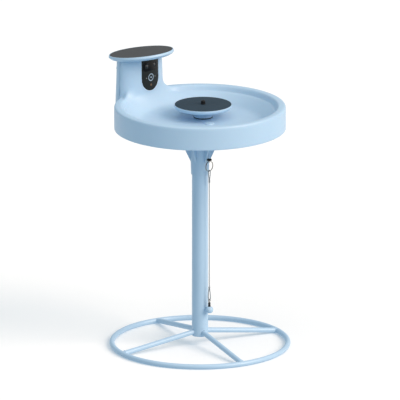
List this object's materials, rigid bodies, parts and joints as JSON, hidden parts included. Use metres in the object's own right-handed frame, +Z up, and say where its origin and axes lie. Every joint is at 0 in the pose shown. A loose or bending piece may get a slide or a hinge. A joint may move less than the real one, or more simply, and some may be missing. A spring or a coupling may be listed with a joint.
{
  "type": "bird bath",
  "caption": "Round bird bath basin on a pole with a ring base, a camera tower with a tilted solar panel, a solar fountain and a pull-cord drain.",
  "frame": {"origin": "on the pole's axis, at the ground that the base ring rests on", "axes": "+Z up, the camera tower on the +Y side looking towards -Y, the drain cord on the -Y side, +X to the right seen from -Y"},
  "size_m": [0.4235, 0.4727, 0.6865],
  "materials": {
    "stand_paint": "satin powder coat",
    "blue_plastic": "satin moulded",
    "black_plastic": "satin",
    "face_plastic": "semi-gloss",
    "window_glass": "polished, dark",
    "white_plastic": "satin",
    "solar_cells": "laminated, faint lines",
    "seal_rubber": "matte",
    "steel": "bright",
    "cord_grey": "braided",
    "board_green": "solder mask",
    "cell_wrap": "shrink wrap",
    "copper": "enamelled wire",
    "sponge": "open foam"
  },
  "bodies": {
    "stand": {"base_ring": "stand_paint", "spoke_1": "stand_paint", "spoke_2": "stand_paint", "spoke_3": "stand_paint", "spoke_4": "stand_paint", "base_spigot": "stand_paint", "pole": "stand_paint", "pole_screws": "steel", "pole_cap": "black_plastic"},
    "bowl": {"basin": "blue_plastic", "hub_mount": "blue_plastic", "hub_screws": "steel", "drain_strainer": "blue_plastic", "drain_guide": "blue_plastic", "tower_rear_cover": "blue_plastic", "rear_cover_seal": "blue_plastic", "rear_cover_screws": "steel", "camera_faceplate": "face_plastic", "lens_window": "window_glass", "camera_left": "black_plastic", "camera_right": "black_plastic", "icon_ring": "white_plastic", "indicator_lights": "white_plastic", "motion_sensor_lens": "white_plastic", "main_board": "board_green", "speaker": "black_plastic", "battery_cells": "cell_wrap", "battery_holder": "black_plastic", "wifi_aerial": "board_green", "charging_socket": "steel", "panel_housing": "blue_plastic", "solar_cell_panel": "solar_cells", "panel_seal": "seal_rubber", "panel_screws": "steel", "tower_head_plate": "blue_plastic"},
    "button": {"power_button": "seal_rubber"},
    "flap": {"port_flap": "seal_rubber"},
    "fountain": {"fountain_float": "blue_plastic", "fountain_solar_disc": "solar_cells", "pump_housing": "blue_plastic", "pump_base": "black_plastic", "motor_coil": "copper", "filter_sponge": "sponge", "impeller_shaft": "steel"},
    "rotor": {"impeller": "black_plastic"},
    "nozzle": {"fountain_nozzle": "black_plastic"},
    "drain": {"drain_poppet": "blue_plastic", "poppet_seal": "seal_rubber", "stem_end_cap": "black_plastic", "drain_spring": "steel"},
    "pull": {"pull_ring": "steel", "upper_loop": "cord_grey", "upper_knot": "cord_grey", "pull_cord": "cord_grey", "lower_knot": "cord_grey", "lower_loop": "cord_grey", "swivel_eye": "steel"},
    "ball": {"swivel_barrel": "black_plastic", "pull_ball": "blue_plastic"}
  },
  "joints": [
    {"name": "bowl_lift", "type": "slide", "parent": "stand", "child": "bowl", "axis": [0, 0, 1], "range_m": [0, 0.09]},
    {"name": "button_press", "type": "slide", "parent": "bowl", "child": "button", "axis": [0, -1, 0], "range_m": [0, 0.001], "stiffness_N_per_m": 400, "springref_m": -0.001},
    {"name": "flap_hinge", "type": "hinge", "parent": "bowl", "child": "flap", "pos_m": [0, 0.2269, 0.5534], "axis": [-1, 0, 0], "range_deg": [0, 95]},
    {"name": "fountain_lift", "type": "slide", "parent": "bowl", "child": "fountain", "axis": [0, 0, 1], "range_m": [0, 0.06]},
    {"name": "impeller_spin", "type": "hinge", "parent": "fountain", "child": "rotor", "pos_m": [0.033, 0.02, 0.549], "axis": [0, 0, 1], "continuous": true},
    {"name": "nozzle_pull", "type": "slide", "parent": "fountain", "child": "nozzle", "axis": [0, 0, 1], "range_m": [0, 0.012]},
    {"name": "drain_pull", "type": "slide", "parent": "bowl", "child": "drain", "axis": [0, 0, -1], "range_m": [0, 0.008], "stiffness_N_per_m": 300, "springref_m": -0.01, "deforming": ["drain_spring"]},
    {"name": "ring_swing", "type": "hinge", "parent": "drain", "child": "pull", "pos_m": [0, -0.0293, 0.4502], "axis": [-1, 0, 0], "range_deg": [0, 40]},
    {"name": "ball_swivel", "type": "hinge", "parent": "pull", "child": "ball", "pos_m": [0, -0.0293, 0.103], "axis": [0, 0, 1], "continuous": true}
  ]
}
